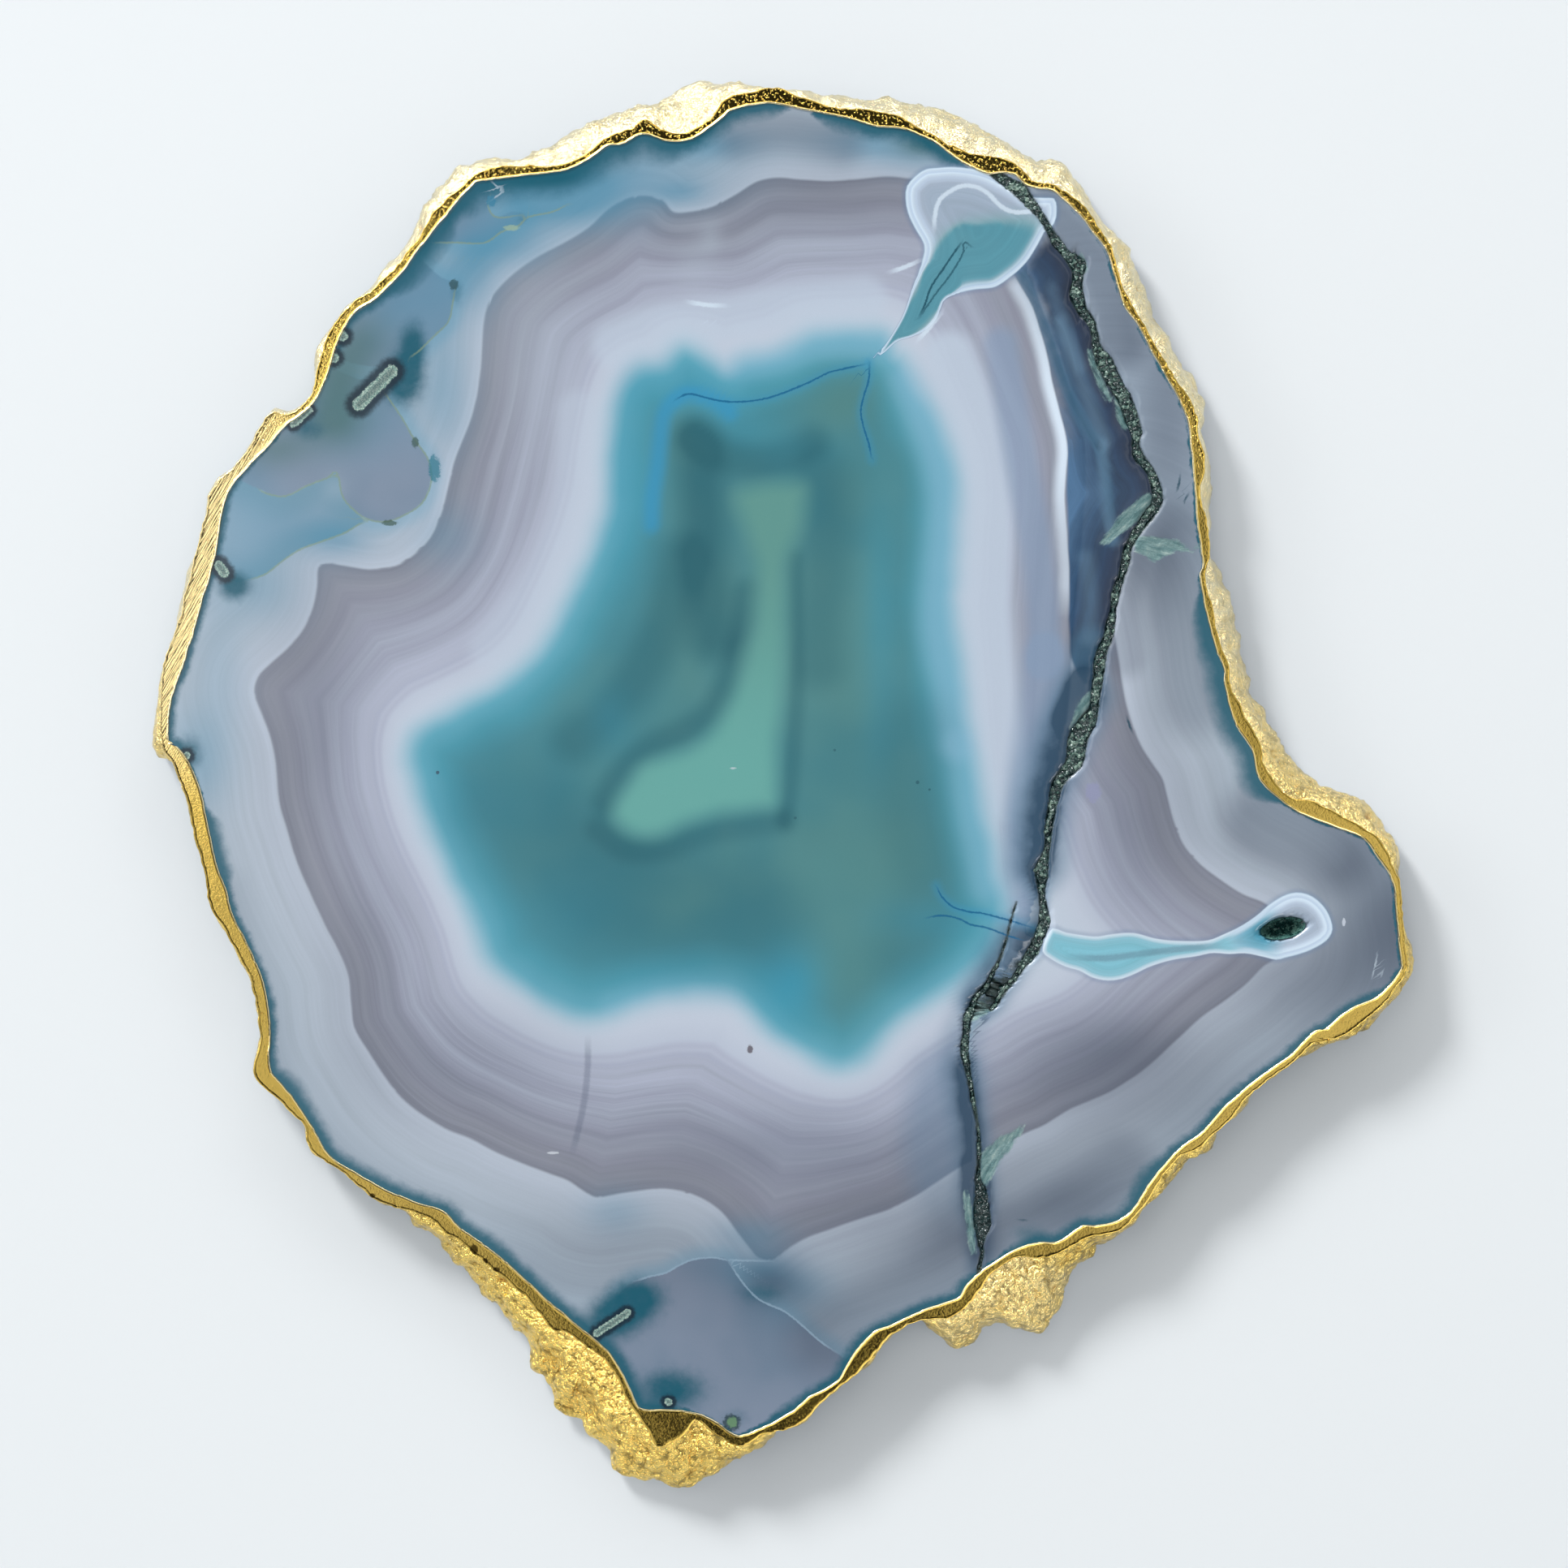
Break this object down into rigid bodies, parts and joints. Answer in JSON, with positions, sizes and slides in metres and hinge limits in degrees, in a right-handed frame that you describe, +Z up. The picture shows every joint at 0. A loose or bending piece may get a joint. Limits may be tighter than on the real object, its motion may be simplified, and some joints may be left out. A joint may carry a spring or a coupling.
{
  "type": "agate slice",
  "caption": "Flat polished agate slice with concentric bands, a rough crystal seam, a small crystal-lined hollow and a gilded rough rim, lying on its back face.",
  "frame": {"origin": "under the middle of the slice's box, on the surface that it lies on", "axes": "+Z up out of the polished front face; +Y along the slice's longest extent, towards its broad rounded end; +X towards its pointed side"},
  "size_m": [0.2237, 0.2496, 0.009],
  "materials": {
    "agate": "polished dyed agate, teal in the middle and grey-mauve bands round it, with a glossy face",
    "gilding": "bright electroplated gold over rough stone, smooth on the flat margins",
    "crystal": "small dark green dyed quartz crystals"
  },
  "bodies": {
    "root": {"stone": "agate", "gold_edge": "gilding", "vug_crystals": "crystal"}
  },
  "joints": []
}
